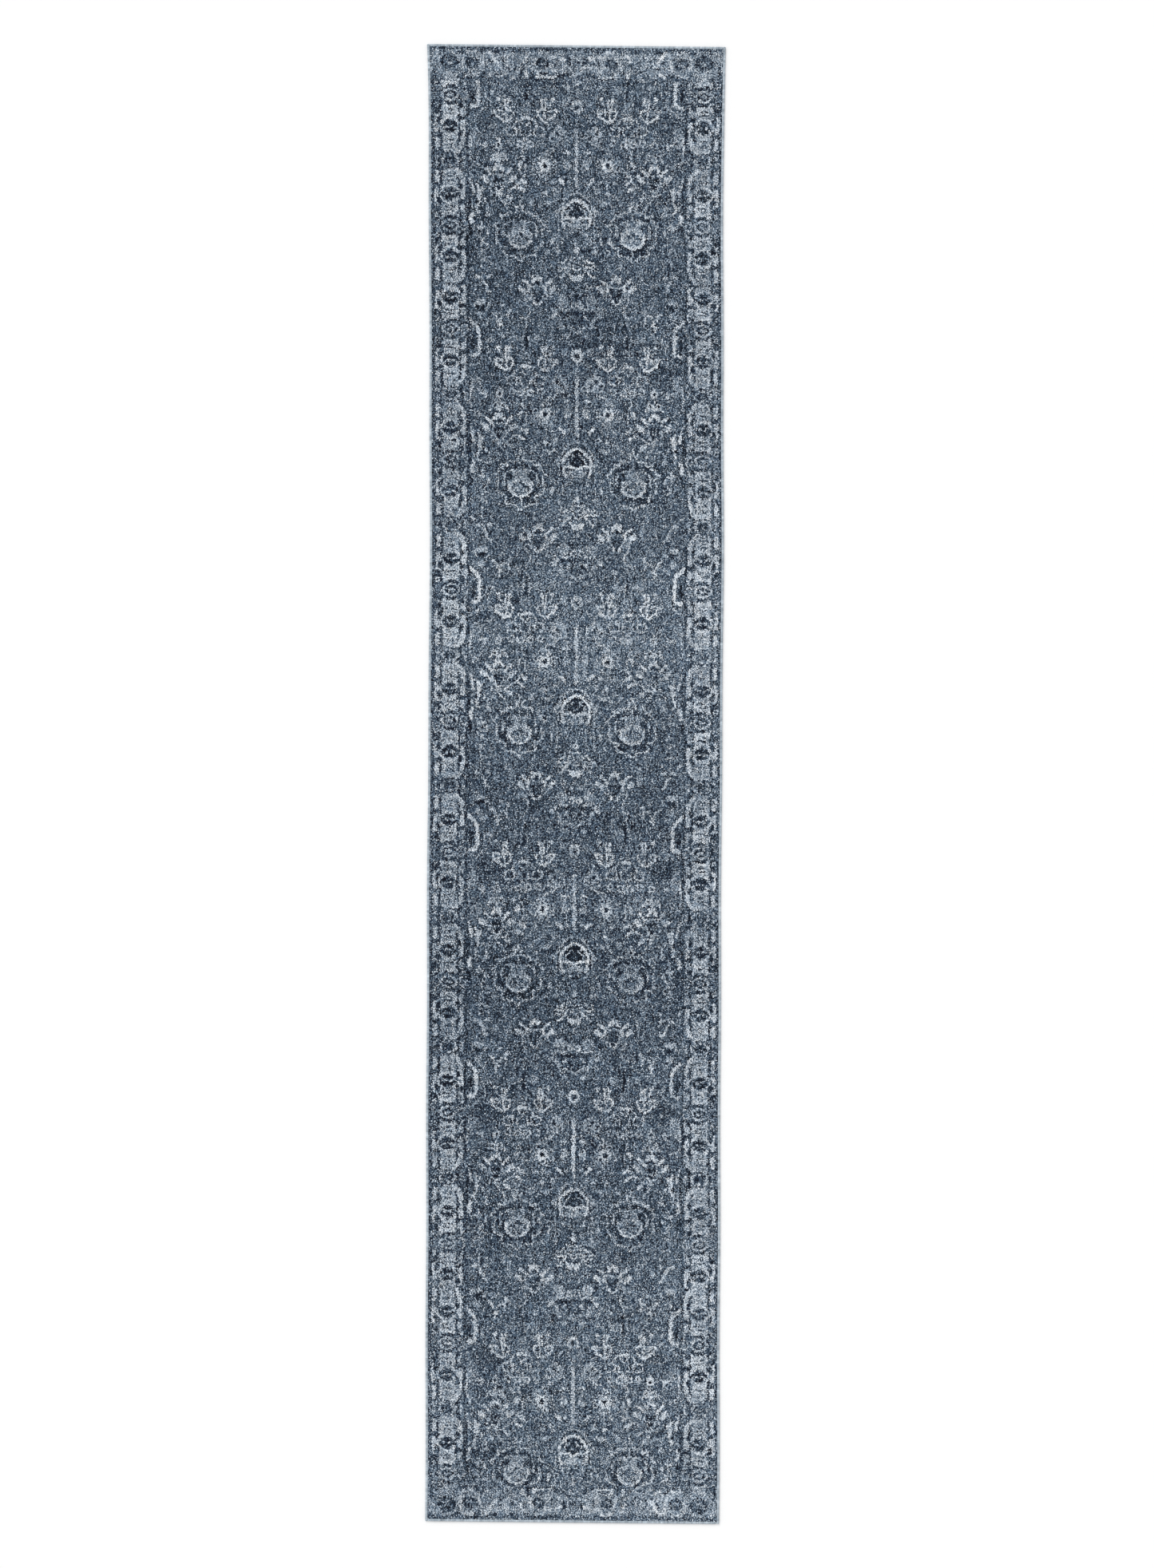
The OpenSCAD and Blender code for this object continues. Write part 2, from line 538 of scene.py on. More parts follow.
    def crown(self, c: Cartoon) -> None:
        """The crown of leaves over a dark heart.

        Args:
            c: the drawing.
        """
        pair = c.mirrored(107)
        pair.lines(IVORY, 9, (96, 642, 101, 634, 107, 632))
        pair.lines(IVORY, 5, (95, 632, 99, 640))
        c.lines(IVORY, 3, (107, 625, 107, 636))
        c.oval(107, 647, 5, 3, NAVY)
        pair.lines(PALE, 4, (92, 652, 96, 660), (99, 655, 107, 657))
        pair.lines(IVORY, 7, (68, 639, 79, 648, 88, 656), (84, 655, 83, 670))
        pair.lines(IVORY, 13, (60, 659, 68, 666))
        pair.lines(SILVER, 5, (74, 668, 72, 676))
        c.ring(86, 681, 6, 8, 4, PALE)
        c.ring(128, 681, 6, 8, 4, PALE)
        pair.lines(NAVY, 13, (98, 671, 103, 682, 107, 685))
        pair.lines(IVORY, 5, (97, 693, 100, 701, 107, 703))
        c.spots(INK, (107, 694, 4, 5))
        c.lines(SILVER, 3.5, (141, 676, 139, 698, 129, 712, 127, 723, 132, 735, 139, 740, 150, 740))
        c.lines(PALE, 3, (138, 744, 138, 766))
        c.lines(MIST, 4, (152, 676, 156, 700), (158, 735, 160, 762))
        c.spots(PALE, (204, 709, 6, 4), (104, 703, 5, 3))

    def side_vine(self, c: Cartoon) -> None:
        """The heavy vine beside the border.

        Args:
            c: the drawing.
        """
        c.spots(INK, (283, 137, 6, 20))
        c.lines(IVORY, 9, (292, 746, 272, 764, 266, 775, 265, 829, 269, 836, 284, 839))
        c.lines(PALE, 3, (224, 131, 235, 125, 246, 130, 247, 142, 241, 150, 240, 165, 246, 174),
                (236, 176, 229, 188))
        c.spots(PALE, (228, 131, 4, 4))
        c.lines(PALE, 3.5, (255, 175, 265, 186, 274, 196, 290, 199))
        c.spots(MIST, (276, 252, 14, 30), (237, 222, 7, 3))
        c.lines(SILVER, 5, (287, 252, 288, 270, 291, 293))
        c.lines(SILVER, 6, (246, 268, 249, 284), (247, 272, 262, 271))
        c.lines(PALE, 4, (290, 298, 286, 318), (262, 333, 268, 322, 278, 320, 280, 332))
        c.lines(IVORY, 11, (264, 393, 264, 418))
        c.lines(IVORY, 7, (268, 382, 264, 392), (264, 424, 270, 440), (256, 392, 262, 402),
                (283, 382, 279, 402))
        c.lines(SILVER, 5, (288, 364, 283, 380), (250, 418, 246, 428), (272, 440, 270, 452, 263, 456))
        c.lines(IVORY, 9, (281, 459, 287, 470, 284, 483))
        c.lines(PALE, 5, (282, 438, 280, 444), (228, 372, 234, 388))
        c.spots(INK, (291, 420, 4, 40), (270, 425, 5, 6), (288, 508, 7, 14))

    def side_branch(self, c: Cartoon) -> None:
        """The small branch beside the vine, and the flowers at its foot.

        Args:
            c: the drawing.
        """
        c.lines(SILVER, 6, (249, 494, 256, 498), (267, 494, 262, 498))
        c.lines(SILVER, 5, (258, 482, 259, 498))
        c.lines(PALE, 2.8, (259, 500, 260, 520, 258, 550, 258, 620, 256, 640),
                (246, 555, 258, 558, 270, 553), (246, 567, 258, 560, 269, 565), (262, 522, 270, 532),
                (238, 592, 250, 586, 262, 587))
        c.lines(SILVER, 4, (241, 543, 253, 537), (246, 520, 256, 532), (279, 613, 287, 608),
                (238, 441, 238, 464), (231, 463, 238, 452), (245, 463, 238, 452))
        c.spots(SILVER, (241, 508, 5, 8), (240, 630, 7, 5), (268, 631, 7, 5), (235, 609, 4, 4))
        c.lines(SILVER, 7, (255, 641, 247, 654, 244, 668, 236, 670))
        c.spots(PALE, (262, 697, 15, 8), (261, 736, 10, 11))
        c.lines(PALE, 5, (238, 704, 244, 718), (277, 702, 277, 716))
        c.spots(INK, (260, 713, 12, 6))
        c.lines(SILVER, 5, (183, 717, 187, 733, 184, 751), (178, 722, 186, 730))
        c.lines(SILVER, 3.5, (187, 732, 200, 735, 207, 745, 211, 756))
        c.lines(IVORY, 5, (203, 757, 216, 761), (210, 752, 212, 771))
        c.lines(SILVER, 6, (229, 729, 220, 734, 216, 748))
        c.lines(PALE, 3, (240, 745, 248, 762), (248, 762, 256, 752))


@dataclass(frozen=True)
class BorderDesign:
    """A side border: u from the rug's edge, t from the middle of a diamond.

    The drawing holds half a repeat, from a diamond to the next dark flower, and the
    border runs on by mirroring it.  It is joined in two places, where a flower is cut
    short; after each join it starts again from another diamond.
    """

    width: float = 108.0
    half_repeat: float = 176.7
    joins: tuple[float, ...] = (0.0, 655.0, 3362.0)
    diamonds: tuple[float, ...] = (138.0, 772.0, 3518.0)
    lift: float = 11.0

    def draw(self) -> Cartoon:
        """Draw half a repeat of the border."""
        c = Cartoon(self.width, self.half_repeat)
        self.cartouche(c)
        self.diamond(c)
        self.dark_flower(c)
        self.guards(c)
        return c

    def diamond(self, c: Cartoon) -> None:
        """The gap with a diamond in rings.

        Args:
            c: the drawing.
        """
        c.spots(NAVY, (20, 36, 14, 18), (57, 22, 20, 6))
        c.lines(PALE, 5, (34, 0, 42, 10, 57, 16, 72, 11, 80, 0))
        c.lines(INK, 4, (43, 0, 50, 7, 57, 9, 66, 7, 73, 0))
        c.lines(SLATE, 4, (30, 8, 40, 18, 57, 22))
        c.spots(PALE, (52, 0, 3.5, 4), (61, 0, 3.5, 4), (28, 12, 3, 4), (40, 24, 5, 4))
        c.ring(20, 28, 5, 5, 3, PALE)
        c.ring(94, 2, 9, 11, 4, PALE)
        c.lines(NAVY, 3.5, (82, 0, 86, 12, 94, 18, 102, 12))
        c.spots(NAVY, (86, 30, 6, 8))
        c.spots(PALE, (76, 30, 4, 5), (97, 28, 4, 4))

    def cartouche(self, c: Cartoon) -> None:
        """The light cartouche with a dark rosette in its middle.

        Args:
            c: the drawing.
        """
        c.lines(PALE, 40, (57, 52, 57, 140))
        c.lines(SILVER, 12, (21, 96, 21, 54, 28, 42, 42, 32, 57, 29, 69, 34, 76, 50))
        c.lines(SILVER, 11, (22, 120, 22, 144))
        c.lines(SLATE, 9, (22, 107, 22, 110))
        c.lines(NAVY, 4, (32, 60, 32, 150))
        c.spots(NAVY, (26, 69, 5, 12))
        c.spots(SLATE, (24, 152, 4, 4))
        c.ring(57, 85, 26, 23, 4, SILVER)
        c.spots(NAVY, (57, 85, 21, 17))
        c.spots(INK, (57, 78, 14, 5), (56, 93, 10, 5), (40, 81, 4, 4), (74, 81, 4, 4))
        c.spots(PALE, (49, 86, 4, 3), (64, 85, 5, 3), (74, 90, 4, 3), (41, 90, 3, 3))
        c.lines(NAVY, 3, (44, 51, 70, 51), (46, 41, 62, 41), (48, 121, 66, 121))
        c.lines(SILVER, 4, (48, 57, 66, 57), (50, 46, 64, 46), (42, 128, 72, 128), (40, 112, 44, 104),
                (72, 112, 68, 104))
        c.lines(GROUND, 3, (46, 138, 68, 138), (50, 131, 64, 131), (52, 66, 62, 66))
        c.lines(SILVER, 12, (74, 152, 86, 140, 92, 126, 92, 74))
        c.lines(PALE, 13, (91, 53, 91, 40))
        c.lines(NAVY, 3.5, (82, 42, 82, 68, 83, 122))
        c.spots(NAVY, (87, 103, 5, 9), (90, 63, 10, 6))

    def dark_flower(self, c: Cartoon) -> None:
        """The gap with a dark flower in a faint diamond.

        Args:
            c: the drawing.
        """
        c.spots(GROUND, (58, 177, 44, 20))
        c.spots(SLATE, (58, 177, 34, 15))
        c.lines(NAVY, 4, (27, 177, 34, 165, 46, 159, 58, 156, 72, 160, 84, 168, 88, 177))
        c.spots(PALE, (37, 172, 4, 5), (42, 163, 4, 3), (75, 170, 5, 4), (70, 163, 4, 3), (22, 168, 4, 4),
                (58, 163, 4, 3), (80, 176, 3, 4), (95, 170, 4, 5))
        c.spots(NAVY, (58, 177, 13, 10), (14, 177, 4, 5), (46, 174, 5, 5), (70, 174, 4, 4))
        c.spots(NAVY, (86, 160, 5, 10), (92, 150, 5, 6))

    def guards(self, c: Cartoon) -> None:
        """The dark lines along both sides.

        Args:
            c: the drawing.
        """
        c.lines(SLATE, 6, (12, 30, 12, 165))
        c.lines(SLATE, 6, (12, 0, 12, 40))
        c.lines(SLATE, 4, (29, 0, 29, 14))
        c.lines(NAVY, 7, (104, 18, 104, 124))
        c.lines(SLATE, 5, (105, 124, 105, 177), (106, 0, 106, 18))

    def sample(self, cartoon: Cartoon, u: np.ndarray, t: np.ndarray) -> np.ndarray:
        """Read the border, mirrored at each diamond and each dark flower.

        Args:
            cartoon: the drawing.
            u: distances from the rug's edge.
            t: distances from the head end.

        Returns:
            The level at each place.
        """
        full = 2 * self.half_repeat
        part = np.searchsorted(self.joins, t, side="right") - 1
        diamond = np.asarray(self.diamonds)[np.clip(part, 0, None)]
        from_diamond = (t - diamond + self.half_repeat) % full
        return cartoon.sample(u, np.abs(from_diamond - self.half_repeat))


@dataclass(frozen=True)
class EndDesign:
    """An end border: u from the rug's centre line, t from the end."""

    half_width: float = 400.0
    depth: float = 100.0
    strength: float = 0.9
    lift: float = 10.0

    def draw(self) -> Cartoon:
        """Draw half of an end border."""
        c = Cartoon(self.half_width, self.depth)
        c.lines(MIST, 58, (0, 52, 380, 52))
        self.light_parts(c)
        self.dark_parts(c)
        self.rosettes(c)
        c.lines(INK, 3, (56, 94, 155, 94), (215, 94, 243, 94), (262, 94, 298, 94))
        c.lines(GROUND, 6, (0, 100, 300, 100))
        return c

    def light_parts(self, c: Cartoon) -> None:
        """The light bars and curves.

        Args:
            c: the drawing.
        """
        c.lines(SILVER, 7, (76, 22, 100, 21), (272, 21, 296, 21), (56, 84, 66, 89, 96, 89),
                (268, 84, 296, 85), (10, 68, 22, 60))
        c.lines(IVORY, 10, (34, 40, 44, 38), (134, 30, 142, 46), (105, 80, 106, 88), (137, 78, 137, 88),
                (236, 24, 226, 36, 216, 50), (62, 34, 72, 36))
        c.lines(SILVER, 8, (60, 70, 72, 62), (246, 24, 250, 44, 256, 66), (304, 30, 306, 66),
                (206, 60, 216, 56), (225, 80, 235, 86), (28, 56, 40, 66), (112, 40, 118, 66),
                (168, 86, 178, 96))
        c.lines(PALE, 14, (330, 84, 356, 82), (324, 98, 350, 98), (374, 18, 384, 30))
        c.lines(PALE, 4, (130, 52, 139, 64), (178, 22, 190, 40), (172, 56, 178, 68), (184, 44, 188, 66),
                (386, 34, 388, 50), (324, 22, 352, 17))
        c.lines(PALE, 6, (0, 20, 14, 18), (196, 82, 214, 90), (0, 78, 12, 82))

    def dark_parts(self, c: Cartoon) -> None:
        """The dark guard line and the dark blocks.

        Args:
            c: the drawing.
        """
        c.lines(NAVY, 6, (30, 13, 118, 13), (256, 13, 290, 13), (322, 13, 380, 12))
        c.lines(SLATE, 6, (118, 13, 256, 13), (0, 13, 30, 13))
        c.lines(NAVY, 12, (22, 40, 22, 54), (28, 82, 46, 86), (123, 78, 123, 90), (152, 16, 166, 20),
                (210, 18, 224, 22), (251, 82, 256, 86))
        c.lines(NAVY, 4, (163, 42, 165, 66, 174, 73), (178, 72, 192, 62), (198, 40, 200, 64),
                (56, 42, 58, 60), (135, 42, 128, 56), (234, 44, 226, 54), (52, 88, 58, 92),
                (146, 74, 152, 80), (76, 78, 98, 80), (210, 66, 224, 66))
        c.lines(NAVY, 8, (384, 62, 384, 100), (306, 22, 316, 24))
        c.spots(NAVY, (4, 50, 5, 8), (10, 70, 4, 4), (66, 18, 6, 5), (145, 56, 4, 6))

    def rosettes(self, c: Cartoon) -> None:
        """The dark rosettes, the biggest in the corner.

        Args:
            c: the drawing.
        """
        for u, t, reach in ((93, 51, 16), (281, 51, 18), (343, 47, 24)):
            c.ring(u, t, reach * 0.75, reach * 0.65, reach * 0.5, NAVY)
            c.oval(u, t, reach * 0.5, reach * 0.4, SLATE)
            c.oval(u, t + reach * 0.2, reach * 0.35, reach * 0.12, PALE)
            c.spots(INK, (u - reach * 0.85, t + 2, reach * 0.2, reach * 0.3),
                    (u + reach * 0.8, t + 2, reach * 0.25, reach * 0.25),
                    (u, t - reach * 0.45, reach * 0.5, reach * 0.2))


@dataclass(frozen=True)
class Yarns:
    """The dyed yarns of the pile, from the darkest to the palest, as sRGB 0 to 255."""

    levels: tuple[float, ...] = (-76, -36, 4, 44, 84, 124, 164)
    shades: tuple[tuple[int, int, int], ...] = (
        (0, 7, 22), (30, 45, 61), (75, 91, 108), (116, 132, 148),
        (157, 171, 185), (198, 209, 220), (226, 236, 246))

    def colour(self, level: np.ndarray) -> np.ndarray:
        """Give the sRGB colour, 0 to 255, of the yarn mix at each level."""
        bands = [np.interp(level, self.levels, [s[i] for s in self.shades]) for i in range(3)]
        return np.stack(bands, axis=-1)


def to_linear(srgb: np.ndarray) -> np.ndarray:
    """Turn sRGB values from 0 to 255 into linear ones from 0 to 1."""
    c = np.clip(np.asarray(srgb, dtype=float) / 255.0, 0, 1)
    return np.where(c <= 0.04045, c / 12.92, ((c + 0.055) / 1.055) ** 2.4)


def blur(grid: np.ndarray, along: float, across: float) -> np.ndarray:
    """Blur a grid.

    Args:
        grid: values at each tuft.
        along: the blur's radius in tufts, along the rug.
        across: its radius across the rug.

    Returns:
        The blurred grid.
    """
    fy = np.fft.fftfreq(grid.shape[0])[:, None] * along
    fx = np.fft.rfftfreq(grid.shape[1])[None, :] * across
    gain = np.exp(-2 * math.pi ** 2 * (fx ** 2 + fy ** 2))
    return np.fft.irfft2(np.fft.rfft2(grid) * gain, s=grid.shape)


def soften(grid: np.ndarray, along: float, across: float | None = None) -> np.ndarray:
    """Blur a grid and bring it back to unit spread.

    Args:
        grid: values at each tuft.
        along: the blur's radius in tufts, along the rug.
        across: its radius across the rug, if that differs.

    Returns:
        The blurred grid, with a standard deviation of 1.
    """
    out = blur(grid, along, along if across is None else across)
    return out / out.std()


def crisp(grid: np.ndarray, radius: float, amount: float) -> np.ndarray:
    """Raise each tuft's difference from the tufts around it.

    Args:
        grid: values at each tuft.
        radius: how far around, in tufts.
        amount: how much of the difference to add.

    Returns:
        The grid with firmer edges.
    """
    return grid + amount * (grid - blur(grid, radius, radius))


# --------------------------------------------------------------------------
# How the rug lies, and its tufts
# --------------------------------------------------------------------------

@dataclass(frozen=True)
class Lay:
    """How the real rug departs from a perfect oblong, in millimetres.

    Its rows run a little askew, its head end is slightly wider than the rest, and
    its sides bow gently.
    """

    length: float
    skew: float = 0.0072
    narrow: float = 0.9945
    head_flare: float = 0.0165
    flare_reach: float = 200.0
    bow: float = 4.5
    bow_centre: float = 1350.0
    bow_reach: float = 600.0
    ripple: float = 0.7
    ripple_length: float = 610.0

    def apply(self, places: np.ndarray) -> np.ndarray:
        """Move places on the perfect oblong to where they really lie.

        Args:
            places: n by 3, in metres.

        Returns:
            The moved places, in metres.
        """
        x, y = places[:, 0] / MM, places[:, 1] / MM
        t = self.length / 2 - y
        wide = self.narrow + self.head_flare * np.exp(-t / self.flare_reach)
        bow = self.bow * np.exp(-((t - self.bow_centre) / self.bow_reach) ** 2)
        bow += self.ripple * np.sin(2 * math.pi * t / self.ripple_length)
        out = places.copy()
        out[:, 0] = (x * wide + bow) * MM
        out[:, 1] = (y - x * self.skew) * MM
        return out


@dataclass(frozen=True)
class Dyeing:
    """How the yarns vary in level around the design; sizes are in tufts."""

    contrast: float = 1.3
    wear: float = 0.16
    wear_size: float = 9
    motif_edge: tuple[float, float] = (2.5, 0.5)
    speckle: float = 50.0
    slub: float = 10.0
    slub_size: tuple[float, float] = (2.2, 0.25)
    cluster: float = 3.0
    cluster_size: float = 1.5
    tuft_edge: tuple[float, float] = (0.8, 0.45)
    patch: float = 3.0
    patch_size: float = 7
    wash: float = 4.0
    wash_size: tuple[float, float] = (22, 10)
    warp_streak: float = 3.5
    weft_streak: float = 2.5
    painted_side_light: float = 10.0
    middle: float = -6.0
    light_warmth: float = 0.05
    warmth: float = 1.0
    warmth_size: float = 2
    # Dye lots change along the rug: distance from the head end, and lighter or darker
    places: tuple[float, ...] = (0, 60, 200, 520, 690, 800, 960, 1100, 1240, 1360, 1500, 1760,
                                 1900, 2020, 2220, 2330, 2460, 2600, 2720, 3200, 3400, 3700,
                                 3900, 4000)
    lots: tuple[float, ...] = (4, 0, -2, -5, -9, -12, -4, -9, 3, 2, 11, 5, -2, -8, -10, -2, -14,
                               -15, -9, -4, 5, 6, 8, 11)

    def colours(self, rng: np.random.Generator, design: np.ndarray, across: np.ndarray,
                along: np.ndarray) -> np.ndarray:
        """Choose each tuft's colour.

        Args:
            rng: the source of chance.
            design: the design's level at each tuft.
            across: how far each tuft is to the right of the centre line, in rug widths.
            along: how far it is from the head end, in millimetres.

        Returns:
            Linear colours, one for each tuft.
        """
        rows, cols = design.shape

        def grain() -> np.ndarray:
            """Draw one random value for each tuft."""
            return rng.standard_normal((rows, cols))

        wear = self.contrast + self.wear * soften(grain(), self.wear_size)
        lots = np.interp(along, self.places, self.lots)
        patches = (self.patch * soften(grain(), self.patch_size)
                   + self.wash * soften(grain(), *self.wash_size))
        warp_streaks = self.warp_streak * rng.standard_normal((1, cols))
        weft_streaks = self.weft_streak * rng.standard_normal((rows, 1))
        mix = (self.speckle * grain() + self.slub * soften(grain(), *self.slub_size)
               + self.cluster * soften(grain(), self.cluster_size))
        level = crisp(crisp(design * wear, *self.motif_edge) + mix, *self.tuft_edge)
        # Painted light: the rug grows lighter from its left side to its right.
        level = level + lots + self.painted_side_light * across + patches
        level += warp_streaks + weft_streaks + self.middle
        shade = Yarns().colour(level)
        warmth = self.light_warmth * np.maximum(design, 0)
        warmth = warmth + self.warmth * soften(grain(), self.warmth_size)
        shade[..., 0] += warmth
        shade[..., 2] -= warmth
        return to_linear(shade)


@dataclass
class Tufts:
    """Every tuft of the pile, on one grid of columns across and rows along.

    Row 0 is the row next to the foot end; column 0 is next to the left edge.
    """

    rug_width: float
    rug_length: float
    low: np.ndarray
    high: np.ndarray
    tuft: float = 2.2
    uneven: float = 0.32
    swell: float = 0.16
    swell_size: float = 3
    lowest: float = -1.0
    tallest: float = 0.9
    stray: float = 0.42
    stray_limit: float = 1.5
    wobble: float = 0.9
    fray: float = 1.5
    seed: int = 11
    cols: int = field(init=False)
    rows: int = field(init=False)
    height: np.ndarray = field(init=False)
    shift: np.ndarray = field(init=False)
    colour: np.ndarray = field(init=False)

    def __post_init__(self) -> None:
        """Lay out the grid and work out each tuft's height, place and colour."""
        self.cols, self.rows = (round((self.high[i] - self.low[i]) / self.tuft) for i in (0, 1))
        rng = np.random.default_rng(self.seed)
        shape = (self.rows + 1, self.cols + 1)
        height = self.uneven * rng.standard_normal(shape)
        height = height + self.swell * soften(rng.standard_normal(shape), self.swell_size)
        self.height = np.clip(height, self.lowest, self.tallest)
        stray = rng.standard_normal((*shape, 2))
        self.shift = self.stray * np.clip(stray, -self.stray_limit, self.stray_limit)
        x, y = self.places()
        self.colour = Dyeing().colours(rng, self.draw_design(rng), x / self.rug_width,
                                       self.rug_length / 2 - y)

    def places(self) -> tuple[np.ndarray, np.ndarray]:
        """Give each tuft's x and y on the perfect oblong."""
        x = np.linspace(self.low[0], self.high[0], self.cols + 1)
        y = np.linspace(self.low[1], self.high[1], self.rows + 1)
        return np.meshgrid(x, y)

    def unsettle(self, rng: np.random.Generator, where: np.ndarray) -> np.ndarray:
        """Give places the wobble and fray with which a woven line departs from its drawing."""
        wavy = where + self.wobble * soften(rng.standard_normal(where.shape), 1.0)
        return wavy + self.fray * rng.standard_normal(where.shape)

    def draw_design(self, rng: np.random.Generator) -> np.ndarray:
        """Read the design at each tuft, with the uneven edges that weaving gives it.

        Args:
            rng: the source of unevenness.

        Returns:
            The design's level at each tuft.
        """
        x, y = self.places()
        u = np.abs(self.unsettle(rng, np.abs(x)))
        t = self.unsettle(rng, self.rug_length / 2 - y)
        edge = self.rug_width / 2 - u
        fields, borders, ends = FieldDesign(), BorderDesign(), EndDesign()
        level = fields.sample(fields.draw(), u, t)
        level -= level.mean()
        side = borders.sample(borders.draw(), edge, t) + borders.lift
        level = np.where(edge < borders.width, side, level)
        end_cartoon = ends.draw()
        for from_end in (t, self.rug_length - t):
            end = ends.strength * end_cartoon.sample(u, from_end) + ends.lift
            level = np.where(from_end < ends.depth, end, level)
        return level


# --------------------------------------------------------------------------
# Mesh help
# --------------------------------------------------------------------------

def mesh_object(name: str, bm: bmesh.types.BMesh) -> bpy.types.Object:
    """Put a finished bmesh into the scene.

    Args:
        name: the piece's name.
        bm: the mesh, which is freed.

    Returns:
        The new object, at the origin.
    """
    mesh = bpy.data.meshes.new(name)
    bm.to_mesh(mesh)
    bm.free()
    piece = bpy.data.objects.new(name, mesh)
    bpy.context.scene.collection.objects.link(piece)
    return piece


def read_places(mesh: bpy.types.Mesh) -> np.ndarray:
    """Read where a mesh's vertices are.

    Args:
        mesh: the mesh.

    Returns:
        Their places, n by 3.
    """
    flat = np.empty(len(mesh.vertices) * 3)
    mesh.vertices.foreach_get("co", flat)
    return flat.reshape(-1, 3)


def write_places(mesh: bpy.types.Mesh, places: np.ndarray) -> None:
    """Move a mesh's vertices to new places, n by 3."""
    mesh.vertices.foreach_set("co", places.astype(np.float32).ravel())
    mesh.update()


def write_colour(mesh: bpy.types.Mesh, colour: np.ndarray, domain: str = "POINT") -> None:
    """Store linear colours as the attribute that the finishes read.

    Args:
        mesh: the mesh.
        colour: the colours, n by 3.
        domain: what the colours are for, POINT for vertices or CORNER for face corners.
    """
    layer = mesh.color_attributes.new(YARN_COLOUR, "FLOAT_COLOR", domain)
    rgba = np.ones((len(colour), 4), dtype=np.float32)
    rgba[:, :3] = colour
    layer.data.foreach_set("color", rgba.ravel())


def strip_grid(bm: bmesh.types.BMesh, c0: int, c1: int, r0: int, r1: int) -> list:
    """Add a flat grid whose vertices lie at whole numbers.

    Args:
        bm: the mesh to add it to.
        c0: first column.
        c1: last column.
        r0: first row.
        r1: last row.

    Returns:
        The grid's vertices.
    """
    place = Matrix.Translation(((c0 + c1) / 2, (r0 + r1) / 2, 0))
    size = Matrix.Diagonal((c1 - c0, r1 - r0, 1, 1))
    made = bmesh.ops.create_grid(bm, x_segments=c1 - c0, y_segments=r1 - r0, size=0.5,
                                 matrix=place @ size)
    return made["verts"]


def lift_new(geometry: Sequence, height: float) -> None:
    """Put the vertices among some new geometry at a height.

    Args:
        geometry: vertices, edges and faces.
        height: the vertices' new z.
    """
    for item in geometry:
        if isinstance(item, bmesh.types.BMVert):
            item.co.z = height


# --------------------------------------------------------------------------
# Finishes
# --------------------------------------------------------------------------

class Wire:
    """A number coming out of a node, that Python's operators work on."""

    def __init__(self, graph: "Graph", socket: bpy.types.NodeSocket) -> None:
        """Wrap a socket of a graph."""
        self.graph = graph
        self.socket = socket

    def _maths(self, operation: str, first: "Wire | float", second: "Wire | float") -> "Wire":
        """Add a Math node.

        Args:
            operation: what it does.
            first: its first value.
            second: its second value.

        Returns:
            The result.
        """
        node = self.graph.add("ShaderNodeMath", {"operation": operation},
                              {0: first, 1: second})
        return self.graph.out(node, 0)

    def __add__(self, other: "Wire | float") -> "Wire":
        """Add a value."""
        return self._maths("ADD", self, other)

    __radd__ = __add__

    def __sub__(self, other: "Wire | float") -> "Wire":
        """Take a value away."""
        return self._maths("SUBTRACT", self, other)

    def __rsub__(self, other: "Wire | float") -> "Wire":
        """Take this from a value."""
        return self._maths("SUBTRACT", other, self)

    def __mul__(self, other: "Wire | float") -> "Wire":
        """Multiply by a value."""
        return self._maths("MULTIPLY", self, other)

    __rmul__ = __mul__


